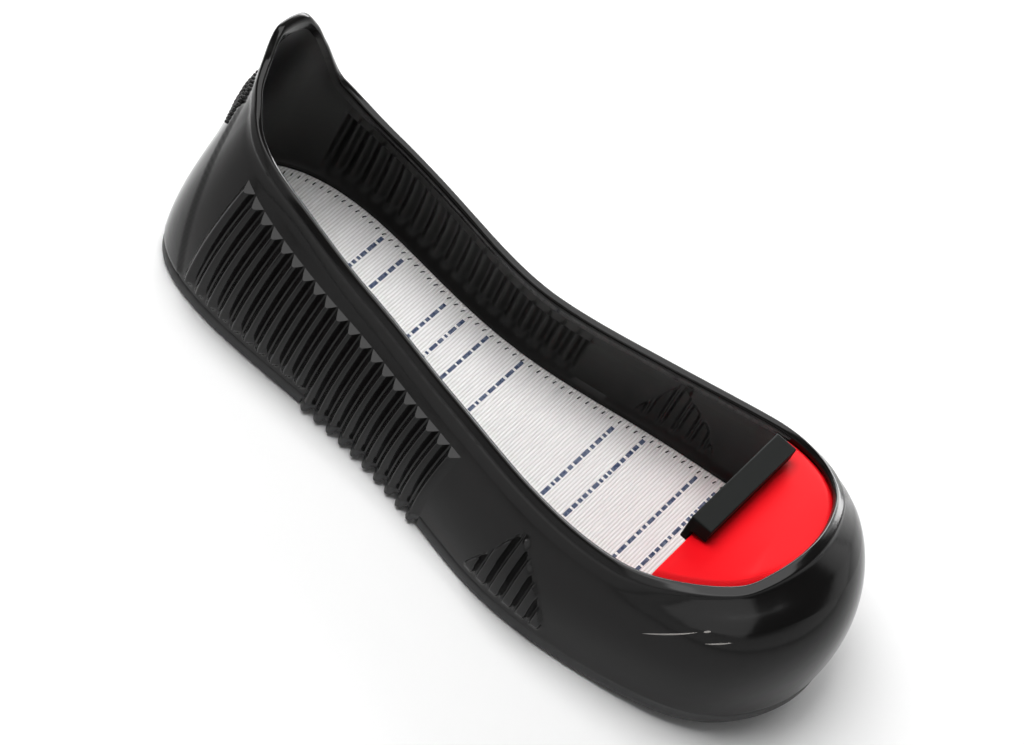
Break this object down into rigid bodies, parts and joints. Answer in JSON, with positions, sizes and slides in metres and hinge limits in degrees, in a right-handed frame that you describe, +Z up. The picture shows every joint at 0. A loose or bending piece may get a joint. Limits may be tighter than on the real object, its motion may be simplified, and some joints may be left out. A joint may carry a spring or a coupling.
{
  "type": "safety toe overshoe",
  "caption": "Slip-on safety overshoe for the right foot: pleated rubber-like shell with a rolled collar and heel tab, tread sole, woven insole and a red alloy toe cap.",
  "frame": {"origin": "on the floor, under the middle of the shoe's box", "axes": "+X from the heel to the toe, +Y to the wearer's left (the medial side of this right shoe), +Z up"},
  "size_m": [0.302, 0.1264, 0.1047],
  "materials": {
    "shell": "glossy black moulded PVC",
    "tread": "satin black moulded PVC tread",
    "woven_board": "off-white cross-ribbed woven puncture-resistant board",
    "cap_paint": "smooth red powder coat on alloy",
    "edge_rubber": "satin black rubber"
  },
  "bodies": {
    "root": {"upper": "shell", "outsole": "tread", "insole": "woven_board", "toe_cap": "cap_paint", "cap_edge_strip": "edge_rubber"}
  },
  "joints": []
}
